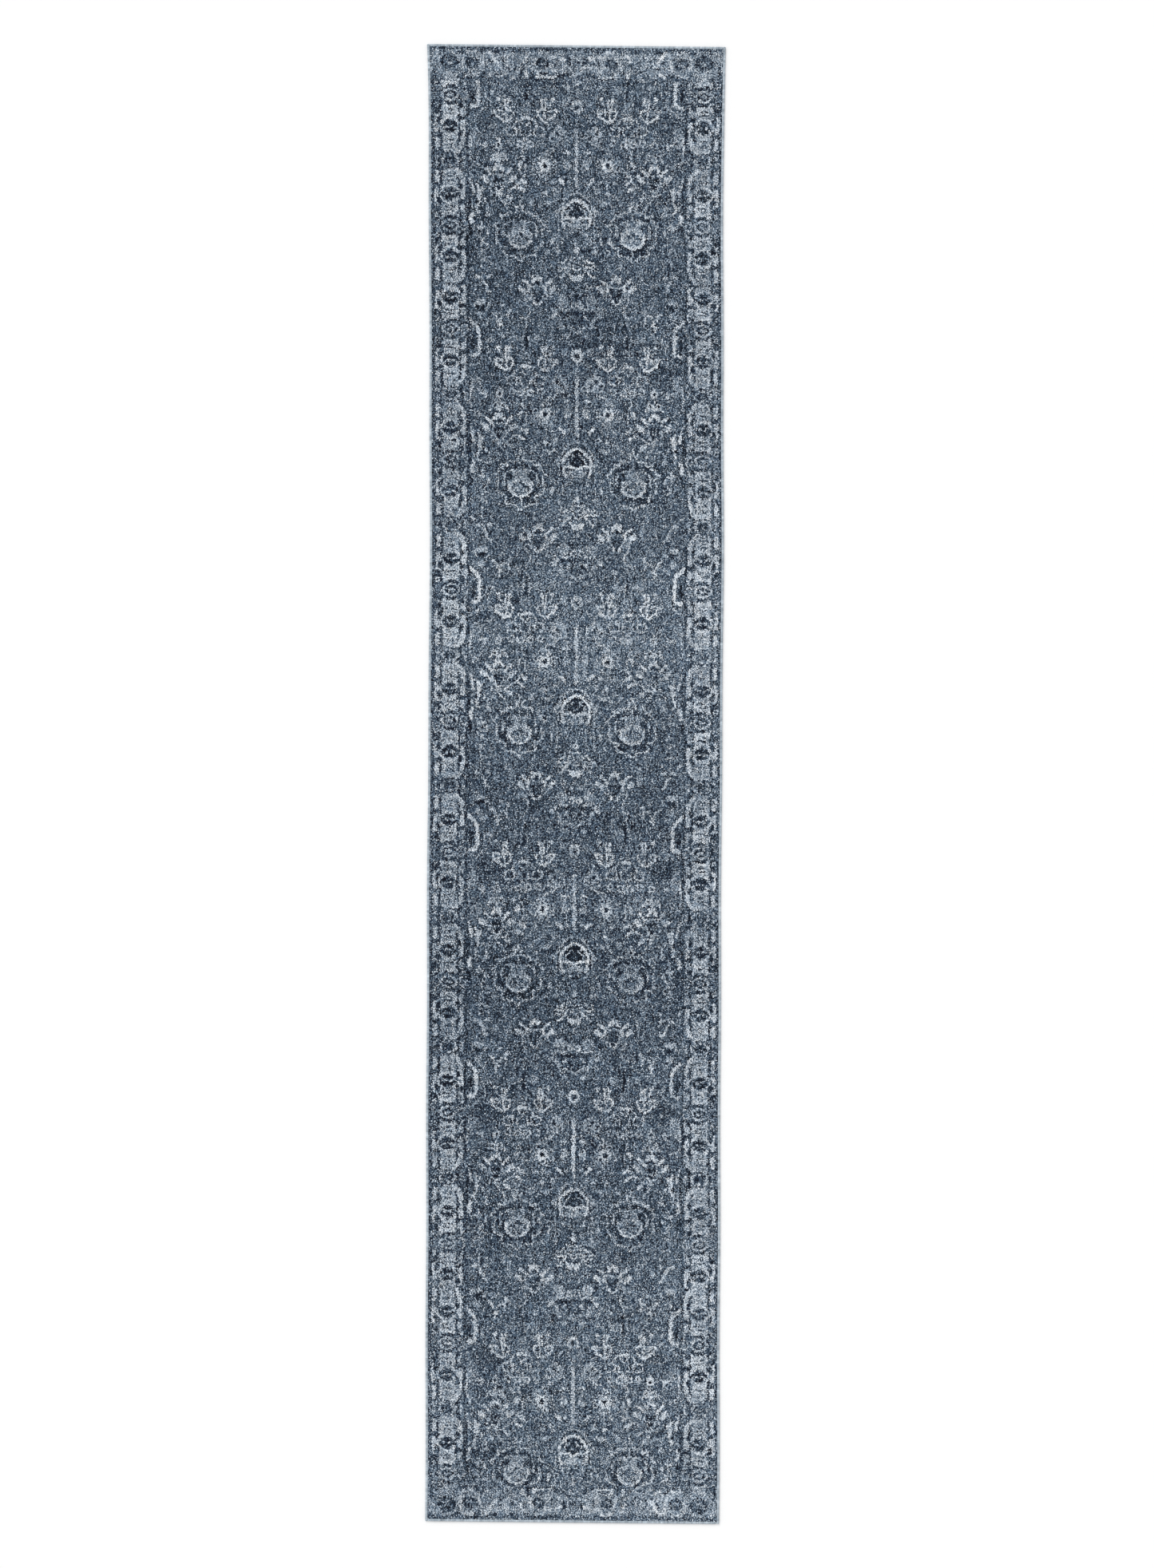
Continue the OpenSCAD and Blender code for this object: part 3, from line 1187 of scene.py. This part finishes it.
class Graph:
    """A material's nodes, with one method that adds any of them."""

    def __init__(self, name: str) -> None:
        """Start a material with a plain Principled surface.

        Args:
            name: the material's name.
        """
        self.material = bpy.data.materials.new(name)
        self.material.use_nodes = True
        self.tree = self.material.node_tree
        self.surface = self.tree.nodes["Principled BSDF"]

    def add(self, kind: str, settings: dict | None = None,
            values: dict | None = None) -> bpy.types.Node:
        """Add a node.

        Args:
            kind: its type.
            settings: what is set on the node itself.
            values: what goes into its sockets, as values or as links.

        Returns:
            The node.
        """
        node = self.tree.nodes.new(kind)
        for key, value in (settings or {}).items():
            setattr(node, key, value)
        for key, value in (values or {}).items():
            self.feed(node.inputs[key], value)
        return node

    def feed(self, socket: bpy.types.NodeSocket, value: object) -> None:
        """Set a socket's value, or link to it.

        Args:
            socket: an input.
            value: a value, or the output to link from.
        """
        if isinstance(value, Wire):
            value = value.socket
        if isinstance(value, bpy.types.NodeSocket):
            self.tree.links.new(value, socket)
        else:
            socket.default_value = value

    def out(self, node: bpy.types.Node, output: int | str) -> Wire:
        """Wrap one of a node's outputs."""
        return Wire(self, node.outputs[output])

    def finish(self, values: dict) -> bpy.types.Material:
        """Feed the surface's sockets.

        Args:
            values: what goes into each.

        Returns:
            The finished material.
        """
        for key, value in values.items():
            self.feed(self.surface.inputs[key], value)
        return self.material

    def spots(self) -> bpy.types.NodeSocket:
        """Give the piece's own coordinates in millimetres."""
        where = self.add("ShaderNodeTexCoord")
        scale = self.add("ShaderNodeVectorMath", {"operation": "SCALE"},
                         {0: where.outputs["Object"], "Scale": 1 / MM})
        return scale.outputs["Vector"]

    def noise(self, spots: bpy.types.NodeSocket, size: float, detail: float = 1.0) -> Wire:
        """Add soft noise.

        Args:
            spots: where to read it, in millimetres.
            size: how big its blotches are, in millimetres.
            detail: how much finer noise it has within them.

        Returns:
            The noise, from 0 to 1.
        """
        node = self.add("ShaderNodeTexNoise", {"noise_dimensions": "3D"},
                        {"Vector": spots, "Scale": 0.5 / size, "Detail": detail})
        return self.out(node, "Fac")

    def shaded(self, colour: object, shade: Wire) -> bpy.types.NodeSocket:
        """Multiply a colour by a shade.

        Args:
            colour: the colour.
            shade: a number that varies around 1.

        Returns:
            The shaded colour.
        """
        node = self.add("ShaderNodeVectorMath", {"operation": "SCALE"},
                        {0: colour, "Scale": shade})
        return node.outputs["Vector"]

    def yarn(self) -> bpy.types.NodeSocket:
        """Give the colour painted on the mesh."""
        node = self.add("ShaderNodeVertexColor", {"layer_name": YARN_COLOUR})
        return node.outputs["Color"]

    def bump(self, height: Wire, relief: float) -> bpy.types.NodeSocket:
        """Turn a height from 0 to 1 into a normal, for a relief in metres."""
        node = self.add("ShaderNodeBump", None, {"Height": height, "Distance": relief})
        return node.outputs["Normal"]


@dataclass(frozen=True)
class PileFinish:
    """Cut pile: matte yarn ends, each frayed into fibres."""

    name: str
    fibre: float = 0.45
    yarn_end: float = 1.3
    roughness: float = 0.92
    relief: float = 0.0006
    dimmest: float = 0.55
    mottle: float = 0.45
    gloss: float = 0.12

    def material(self) -> bpy.types.Material:
        """Make the material."""
        g = Graph(self.name)
        spots = g.spots()
        fibres = g.noise(spots, self.fibre, 2.0)
        ends = g.noise(spots, self.yarn_end)
        shade = self.dimmest + self.mottle * fibres + self.mottle * ends
        height = 0.4 * fibres + 0.6 * ends
        return g.finish({"Base Color": g.shaded(g.yarn(), shade),
                         "Roughness": self.roughness - self.gloss * fibres,
                         "Normal": g.bump(height, self.relief),
                         "Specular IOR Level": 0.2, "Sheen Weight": 0.06,
                         "Sheen Roughness": 0.5})


@dataclass(frozen=True)
class WrapFinish:
    """Wrapping yarn: twisted plies with a slight lustre."""

    name: str
    ply: float = 0.5
    roughness: float = 0.72
    relief: float = 0.0003
    dimmest: float = 0.72

    def material(self) -> bpy.types.Material:
        """Make the material."""
        g = Graph(self.name)
        spots = g.spots()
        plies = g.noise(spots, self.ply, 2.0)
        fluff = g.noise(spots, 3 * self.ply)
        shade = self.dimmest + 0.36 * plies + 0.2 * fluff
        return g.finish({"Base Color": g.shaded(g.yarn(), shade),
                         "Roughness": self.roughness + 0.15 * fluff,
                         "Normal": g.bump(plies, self.relief),
                         "Specular IOR Level": 0.3, "Sheen Weight": 0.1})


@dataclass(frozen=True)
class WeaveFinish:
    """The undyed woven back: warps and wefts crossing over each other."""

    name: str
    pitch: float = 2.2
    yarn: tuple[float, float, float] = (0.36, 0.335, 0.29)
    dirt: tuple[float, float, float] = (0.22, 0.205, 0.18)
    roughness: float = 0.9
    relief: float = 0.0005
    stain_size: float = 30.0

    def material(self) -> bpy.types.Material:
        """Make the material."""
        g = Graph(self.name)
        spots = g.spots()
        along, across = (
            g.add("ShaderNodeTexWave", {"wave_type": "BANDS", "bands_direction": direction},
                  {"Vector": spots, "Scale": math.pi / (10 * self.pitch),
                   "Distortion": 0.6, "Detail Scale": 0.4}) for direction in "XY")
        weave = g.out(along, "Fac") * 0.5 + g.out(across, "Fac") * 0.5
        stain = g.noise(spots, self.stain_size, 3.0)
        blend = g.add("ShaderNodeMix", {"data_type": "RGBA"},
                      {"Factor": stain, "A": (*self.yarn, 1), "B": (*self.dirt, 1)})
        shade = 0.7 + 0.45 * weave
        return g.finish({"Base Color": g.shaded(blend.outputs["Result"], shade),
                         "Roughness": self.roughness - 0.1 * weave,
                         "Normal": g.bump(weave, self.relief),
                         "Specular IOR Level": 0.2})


@dataclass(frozen=True)
class FloorFinish:
    """A plain pale studio floor."""

    name: str = "studio_floor"
    colour: tuple[float, float, float] = (0.96, 0.96, 0.96)

    def material(self) -> bpy.types.Material:
        """Make the material."""
        g = Graph(self.name)
        return g.finish({"Base Color": (*self.colour, 1), "Roughness": 0.9,
                         "Specular IOR Level": 0.1})


# --------------------------------------------------------------------------
# The rug's pieces
# --------------------------------------------------------------------------

class Run(Enum):
    """Which way a piece of the rug is long."""

    ALONG = "along the rug"
    ACROSS = "across the rug"


@dataclass
class PileArea:
    """One area of the pile, in strips side by side, each cut into shorter lengths."""

    node: str
    slot: str
    columns: tuple[int, int]
    rows: tuple[int, int]
    run: Run
    strips: int
    lengths: int
    root: float
    top: float
    shoulder: float = 1.5
    shoulder_reach: float = 1.2
    root_painted_shade: float = 0.45

    def build(self, tufts: Tufts, lay: Lay) -> list[bpy.types.Object]:
        """Build the area's strips.

        Args:
            tufts: the tufts' heights, places and colours.
            lay: how the rug lies.

        Returns:
            The strips.
        """
        c = np.linspace(*self.columns, self.strips + 1).round().astype(int)
        if self.run is Run.ALONG:
            r = np.linspace(*self.rows, self.lengths + 1).round().astype(int)
            cells = [[(c[i], c[i + 1], r[j], r[j + 1]) for j in range(self.lengths)]
                     for i in range(self.strips)]
        else:
            k = np.linspace(*self.columns, self.lengths + 1).round().astype(int)
            cells = [[(k[j], k[j + 1], *self.rows) for j in range(self.lengths)]]
        return [self.strip(f"{self.node}_{i + 1}", cell, tufts, lay)
                for i, cell in enumerate(cells)]

    def strip(self, name: str, cells: list, tufts: Tufts, lay: Lay) -> bpy.types.Object:
        """Build one strip of pile from blocks that stand side by side.

        Args:
            name: the strip's name.
            cells: each block's first and last column, and first and last row.
            tufts: the tufts' heights, places and colours.
            lay: how the rug lies.

        Returns:
            The strip.
        """
        bm = bmesh.new()
        for cell in cells:
            verts = strip_grid(bm, *cell)
            rim = list(dict.fromkeys(e for v in verts for e in v.link_edges if e.is_boundary))
            for edge in rim:
                edge.smooth = False
            lift_new(bmesh.ops.extrude_edge_only(bm, edges=rim)["geom"], -1)
        piece = mesh_object(name, bm)
        mesh = piece.data
        mesh.shade_smooth()
        at = read_places(mesh)
        col, row = at[:, 0].round().astype(int), at[:, 1].round().astype(int)
        wall = at[:, 2] < -0.5
        corners = self.corner_colours(mesh, at, tufts)
        x, y = tufts.places()
        out = np.empty_like(at)
        inside = np.minimum.reduce([col, tufts.cols - col, row, tufts.rows - row])
        shift = tufts.shift[row, col] * (inside > 0)[:, None]
        out[:, 0] = (x[row, col] + shift[:, 0]) * MM
        out[:, 1] = (y[row, col] + shift[:, 1]) * MM
        rounding = self.shoulder * np.exp(-inside / self.shoulder_reach)
        height = self.top + (tufts.height[row, col] - tufts.tallest - rounding) * MM
        out[:, 2] = np.where(wall, self.root, height)
        write_places(mesh, lay.apply(out))
        write_colour(mesh, corners, "CORNER")
        return piece

    def corner_colours(self, mesh: bpy.types.Mesh, at: np.ndarray,
                       tufts: Tufts) -> np.ndarray:
        """Give each face one tuft's colour, darkened by painted shade at the root.

        Args:
            mesh: the strip's mesh.
            at: its vertices on the tuft grid, with the roots below 0.
            tufts: the tufts' colours.

        Returns:
            Linear colours, one for each face corner.
        """
        vertex = np.empty(len(mesh.loops), dtype=int)
        mesh.loops.foreach_get("vertex_index", vertex)
        corner = at[vertex].reshape(-1, 4, 3)
        middle = corner.mean(axis=1)
        col = np.floor(middle[:, 0]).astype(int)
        row = np.floor(middle[:, 1]).astype(int)
        # Painted shade: face corners down at the pile's roots are darkened.
        shade = np.where(corner[..., 2] < -0.5, self.root_painted_shade, 1.0)
        colour = tufts.colour[row, col][:, None, :] * shade[..., None]
        return colour.reshape(-1, 3)


@dataclass
class BoundEdge:
    """One bound edge: yarn wrapped over a cord, turn after turn."""

    node: str
    cord_node: str
    run: Run
    low: np.ndarray
    high: np.ndarray
    turn: float = 2.0
    samples: int = 4
    around: int = 12
    bulge: float = 0.32
    slack: float = 0.1
    looseness: float = 0.12
    tip: float = 2.5
    tip_size: float = 0.25
    squareness: float = 2.8
    seed: int = 5
    yarn: tuple[int, int, int] = (186, 198, 208)
    turn_shade: float = 9.0
    slow_shade: float = 11.0
    slow_turns: int = 3
    groove_painted_shade: float = 46.0
    inner_painted_light_outer_shade: float = 16.0
    cord_yarn: tuple[int, int, int] = (186, 181, 168)
    cord_radius: float = 1.6
    cord_offset: float = 0.6
    cord_lay: float = 9.0
    strands: int = 3
    strand_depth: float = 0.25
    strand_groove_painted_shade: float = 30.0

    def along(self) -> int:
        """Give the axis that the edge runs along: 0 for x, 1 for y."""
        return 1 if self.run is Run.ALONG else 0

    def tube(self, name: str, steps: int) -> tuple[bpy.types.Object, np.ndarray, np.ndarray]:
        """Build a plain grid whose columns will close into a tube.

        Args:
            name: the piece's name.
            steps: how many rows of faces it has.

        Returns:
            The piece, and each vertex's row and column, the last column being the first.
        """
        bm = bmesh.new()
        strip_grid(bm, 0, self.around, 0, steps)
        piece = mesh_object(name, bm)
        at = read_places(piece.data)
        return piece, at[:, 1].round(), at[:, 0].round() % self.around

    def close(self, piece: bpy.types.Object) -> None:
        """Weld a tube's seam, close its ends and turn its faces outwards.

        Args:
            piece: the tube.
        """
        bm = bmesh.new()
        bm.from_mesh(piece.data)
        bmesh.ops.remove_doubles(bm, verts=bm.verts[:], dist=1e-6)
        open_edges = [e for e in bm.edges if e.is_boundary]
        bmesh.ops.holes_fill(bm, edges=open_edges, sides=0)
        bmesh.ops.recalc_face_normals(bm, faces=bm.faces[:])
        bm.to_mesh(piece.data)
        bm.free()
        piece.data.shade_smooth()

    def place(self, run: np.ndarray, side: np.ndarray, up: np.ndarray) -> np.ndarray:
        """Put vertices at lengths along, across and up.

        Args:
            run: places along the edge.
            side: places across it.
            up: heights.

        Returns:
            The places, n by 3.
        """
        out = np.empty((len(run), 3))
        out[:, self.along()] = run
        out[:, 1 - self.along()] = side
        out[:, 2] = up
        return out

    def wrapping(self, lay: Lay) -> bpy.types.Object:
        """Build the wrapping yarn.

        Args:
            lay: how the rug lies.

        Returns:
            The wrapping, as one closed tube ribbed by its turns.
        """
        axis = self.along()
        length = self.high[axis] - self.low[axis]
        turns = round(length / (self.turn * MM))
        steps = turns * self.samples
        piece, step, spoke = self.tube(self.node + "_yarn", steps)
        angle = 2 * math.pi * spoke / self.around
        wound = step / self.samples + spoke / self.around
        rib = np.abs(np.sin(math.pi * wound)) - 1
        half_w = (self.high[1 - axis] - self.low[1 - axis]) / 2
        half_h = (self.high[2] - self.low[2]) / 2
        c, s = np.cos(angle), np.sin(angle)
        power = 2 / self.squareness
        run = step / steps * length
        from_tip = np.minimum(run, length - run) / (self.tip * MM)
        tip = np.sqrt(1 - (1 - np.clip(from_tip, 0, 1)) ** 2)
        tip = tip * (1 - self.tip_size) + self.tip_size
        rng = np.random.default_rng(self.seed)
        loose = self.looseness * rng.standard_normal(turns + 2)[np.floor(wound).astype(int)]
        inset = (self.bulge * rib + loose - self.slack) * MM
        side = np.sign(c) * np.abs(c) ** power * (half_w * tip + inset)
        up = np.sign(s) * np.abs(s) ** power * (half_h * tip + inset)
        mid = (self.high + self.low) / 2
        lift = np.maximum(mid[2] + up, self.low[2])
        places = self.place(self.low[axis] + run, mid[1 - axis] + side, lift)
        write_places(piece.data, lay.apply(places))
        inward = -c * np.sign(mid[1 - axis])
        write_colour(piece.data, self.yarn_colour(rng, wound, rib, inward, turns))
        self.close(piece)
        return piece

    def yarn_colour(self, rng: np.random.Generator, wound: np.ndarray, rib: np.ndarray,
                    inward: np.ndarray, turns: int) -> np.ndarray:
        """Colour the yarn: uneven from turn to turn, with painted shade between the turns and painted
        light and shade on its two sides.

        Args:
            rng: the source of unevenness.
            wound: how many turns have been wound at each vertex.
            rib: 0 on a turn's crest, -1 between turns.
            inward: 1 on the side next to the pile, -1 on the outer side.
            turns: how many turns there are.

        Returns:
            Linear colours.
        """
        each = self.turn_shade * rng.standard_normal(turns + 2)
        knots = np.arange(0, turns + 8, self.slow_turns)
        slow = np.interp(np.arange(turns + 2), knots,
                         self.slow_shade * rng.standard_normal(len(knots)))
        # Painted shade in the grooves between the turns.
        level = (each + slow)[np.floor(wound).astype(int)] + self.groove_painted_shade * rib
        # Painted light on the side next to the pile, painted shade on the outer side.
        level += self.inner_painted_light_outer_shade * inward
        return to_linear(np.asarray(self.yarn, dtype=float) + level[:, None])

    def cord(self, lay: Lay) -> bpy.types.Object:
        """Build the twisted cord inside the wrapping.

        Args:
            lay: how the rug lies.

        Returns:
            The cord.
        """
        axis = self.along()
        length = self.high[axis] - self.low[axis] - 2 * self.tip * MM
        steps = round(length / (0.5 * self.cord_lay * MM))
        piece, step, spoke = self.tube(self.cord_node + "_strands", steps)
        angle = 2 * math.pi * spoke / self.around
        run = step / steps * length
        turned = self.strands / 2 * angle + math.pi * run / (self.cord_lay * MM)
        strand = np.abs(np.cos(turned))
        radius = (self.cord_radius - self.strand_depth + self.strand_depth * strand) * MM
        mid = (self.high + self.low) / 2
        outer = np.sign(mid[1 - axis])
        middle = mid[1 - axis] + outer * self.cord_offset * MM
        places = self.place(self.low[axis] + self.tip * MM + run,
                            middle + radius * np.cos(angle), mid[2] + radius * np.sin(angle))
        write_places(piece.data, lay.apply(places))
        # Painted shade in the grooves between the cord's strands.
        shade = np.asarray(self.cord_yarn, dtype=float) + self.strand_groove_painted_shade * (strand[:, None] - 1)
        write_colour(piece.data, to_linear(shade))
        self.close(piece)
        return piece


@dataclass
class GroundCloth:
    """The woven ground cloth, a thin slab ribbed by its wefts underneath."""

    low: np.ndarray
    high: np.ndarray
    rib_pitch: float = 4.4
    rib_depth: float = 0.25
    columns: int = 16

    def build(self, lay: Lay) -> bpy.types.Object:
        """Build the cloth.

        Args:
            lay: how the rug lies.

        Returns:
            The cloth, a closed slab.
        """
        width, length = (self.high - self.low)[:2]
        rows = 2 * round(length / (self.rib_pitch * MM))
        bm = bmesh.new()
        strip_grid(bm, 0, self.columns, 0, rows)
        lift_new(bmesh.ops.extrude_face_region(bm, geom=bm.faces[:])["geom"], 1)
        bmesh.ops.recalc_face_normals(bm, faces=bm.faces[:])
        piece = mesh_object("ground_weave", bm)
        at = read_places(piece.data)
        rib = (at[:, 1].round() % 2) * self.rib_depth * MM
        out = np.empty_like(at)
        out[:, 0] = self.low[0] + at[:, 0] / self.columns * width
        out[:, 1] = self.low[1] + at[:, 1] / rows * length
        out[:, 2] = np.where(at[:, 2] > 0.5, self.high[2], self.low[2] + rib)
        write_places(piece.data, lay.apply(out))
        return piece


@dataclass
class Rug:
    """The whole rug, its sizes taken from the frame."""

    end_lengths: int = 3
    side_lengths: int = 7
    field_strips: int = 5
    tuft: float = 2.2
    sink: float = 0.0003

    def __post_init__(self) -> None:
        """Read the CAD boxes and plan the tufts."""
        low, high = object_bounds()
        self.size = np.array(high) - np.array(low)
        self.lay = Lay(self.size[1] / MM)
        self.boxes = {name: tuple(np.array(corner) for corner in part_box(name))
                      for name in frame["nodes"]}
        pile_low = self.boxes["foot_border_pile"][0]
        pile_high = self.boxes["head_border_pile"][1]
        self.tufts = Tufts(self.size[0] / MM, self.size[1] / MM, pile_low / MM,
                           pile_high / MM, self.tuft)

    def slot_of(self, node: str) -> str:
        """Look up a material slot in the record.

        Args:
            node: the CAD node.

        Returns:
            Its slot.
        """
        for part in frame["record"]["subparts"]:
            if part["node"] == node:
                return part["material_slot"]
        raise KeyError(node)

    def hold(self, piece: bpy.types.Object, nodes: Sequence[str],
             material: bpy.types.Material) -> bpy.types.Object:
        """Fix a piece to the frame and dress it.

        Args:
            piece: the new piece.
            nodes: the CAD nodes that it stands for.
            material: its finish.

        Returns:
            The piece.
        """
        piece.data.materials.append(material)
        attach(piece, "root")
        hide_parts(*nodes)
        self.slot_of(nodes[0])
        LOG.info("%s: %d faces, for %s", piece.name, len(piece.data.polygons), ", ".join(nodes))
        return piece

    def pile(self) -> list[bpy.types.Object]:
        """Build and dress the pile."""
        root = self.boxes["ground_cloth"][1][2] - self.sink
        top = self.boxes["field_pile"][1][2]
        first, last = self.tufts.low, self.tufts.high
        count = (self.tufts.cols, self.tufts.rows)

        def span(corners: tuple[np.ndarray, np.ndarray], axis: int) -> tuple[int, int]:
            """Find the tufts nearest the two ends of a box.

            Args:
                corners: the box's low and high corners, in metres.
                axis: the direction, 0 across the rug or 1 along it.

            Returns:
                The first and last tuft's column or row.
            """
            reach = last[axis] - first[axis]
            return tuple(round((corner[axis] / MM - first[axis]) / reach * count[axis])
                         for corner in corners)

        finishes = {"field_yarn": PileFinish("field_pile_yarn").material(),
                    "border_yarn": PileFinish("border_pile_yarn", yarn_end=1.4).material()}
        plans = (("field_pile", Run.ALONG, self.field_strips, self.side_lengths),
                 ("left_border_pile", Run.ALONG, 1, self.side_lengths),
                 ("right_border_pile", Run.ALONG, 1, self.side_lengths),
                 ("head_border_pile", Run.ACROSS, 1, self.end_lengths),
                 ("foot_border_pile", Run.ACROSS, 1, self.end_lengths))
        pieces = []
        for node, run, strips, lengths in plans:
            box = self.boxes[node]
            area = PileArea(node, self.slot_of(node), span(box, 0), span(box, 1), run, strips,
                            lengths, root, top)
            for piece in area.build(self.tufts, self.lay):
                pieces.append(self.hold(piece, (node,), finishes[area.slot]))
        return pieces

    def edges(self) -> list[bpy.types.Object]:
        """Build and dress the bound edges."""
        yarn = WrapFinish("wrapping_yarn").material()
        strands = WrapFinish("cord_strands", ply=0.8, roughness=0.85).material()
        plans = (("left_edge", Run.ALONG), ("right_edge", Run.ALONG),
                 ("head_end", Run.ACROSS), ("foot_end", Run.ACROSS))
        pieces = []
        for seed, (side, run) in enumerate(plans, start=BoundEdge.seed):
            wrap, cord = side + "_wrap", side + "_cord"
            edge = BoundEdge(wrap, cord, run, *self.boxes[wrap], seed=seed)
            pieces.append(self.hold(edge.wrapping(self.lay), (wrap,), yarn))
            pieces.append(self.hold(edge.cord(self.lay), (cord,), strands))
        return pieces

    def cloth(self) -> bpy.types.Object:
        """Build and dress the ground cloth."""
        piece = GroundCloth(*self.boxes["ground_cloth"]).build(self.lay)
        return self.hold(piece, ("ground_cloth",), WeaveFinish("woven_back").material())

    def build(self) -> None:
        cloth = self.cloth()
        upper = self.pile() + self.edges()


# --------------------------------------------------------------------------
# The studio
# --------------------------------------------------------------------------

@dataclass(frozen=True)
class Studio:
    """A pale floor, soft light and a camera straight above."""

    floor_size: float = 60.0
    floor_drop: float = 0.0002
    camera_height: float = 12.0
    view_length: float = 4.247
    sensor: float = 36.0
    aside: float = 0.0073
    roll: float = 0.165
    sky: float = 0.78
    key: float = 1.25
    key_softness: float = 40.0
    key_tilt: tuple[float, float, float] = (-38.0, -30.0, 0.0)

    def floor(self) -> None:
        """Lay the floor just under the rug."""
        bm = bmesh.new()
        bmesh.ops.create_grid(bm, x_segments=1, y_segments=1, size=self.floor_size / 2,
                              matrix=Matrix.Translation((0, 0, -self.floor_drop)))
        floor = mesh_object("floor", bm)
        floor.data.materials.append(FloorFinish().material())
        floor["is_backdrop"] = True

    def light(self) -> None:
        """Light the scene with a white sky and one soft key."""
        scene = bpy.context.scene
        world = bpy.data.worlds.new("studio_sky")
        world.use_nodes = True
        background = world.node_tree.nodes["Background"]
        background.inputs["Color"].default_value = (1, 1, 1, 1)
        background.inputs["Strength"].default_value = self.sky
        scene.world = world
        lamp = bpy.data.lights.new("key", "SUN")
        lamp.energy = self.key
        lamp.angle = math.radians(self.key_softness)
        key = bpy.data.objects.new("key", lamp)
        key.rotation_euler = [math.radians(angle) for angle in self.key_tilt]
        scene.collection.objects.link(key)
        scene.view_settings.view_transform = "Standard"

    def camera(self) -> None:
        """Hang the camera over the rug, looking down."""
        data = bpy.data.cameras.new("camera")
        data.sensor_width = self.sensor
        data.lens = self.sensor * self.camera_height / self.view_length
        data.clip_end = 200.0
        camera = bpy.data.objects.new("camera", data)
        camera.location = (self.aside, 0, self.camera_height)
        camera.rotation_euler = (0, 0, math.radians(self.roll))
        bpy.context.scene.collection.objects.link(camera)
        bpy.context.scene.camera = camera


def main() -> None:
    """Build the rug and its studio."""
    logging.basicConfig(level=logging.INFO, format="%(name)s %(message)s")
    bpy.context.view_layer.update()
    studio = Studio()
    studio.camera()
    Rug().build()
    studio.floor()
    studio.light()


if __name__ == "__main__":
    main()
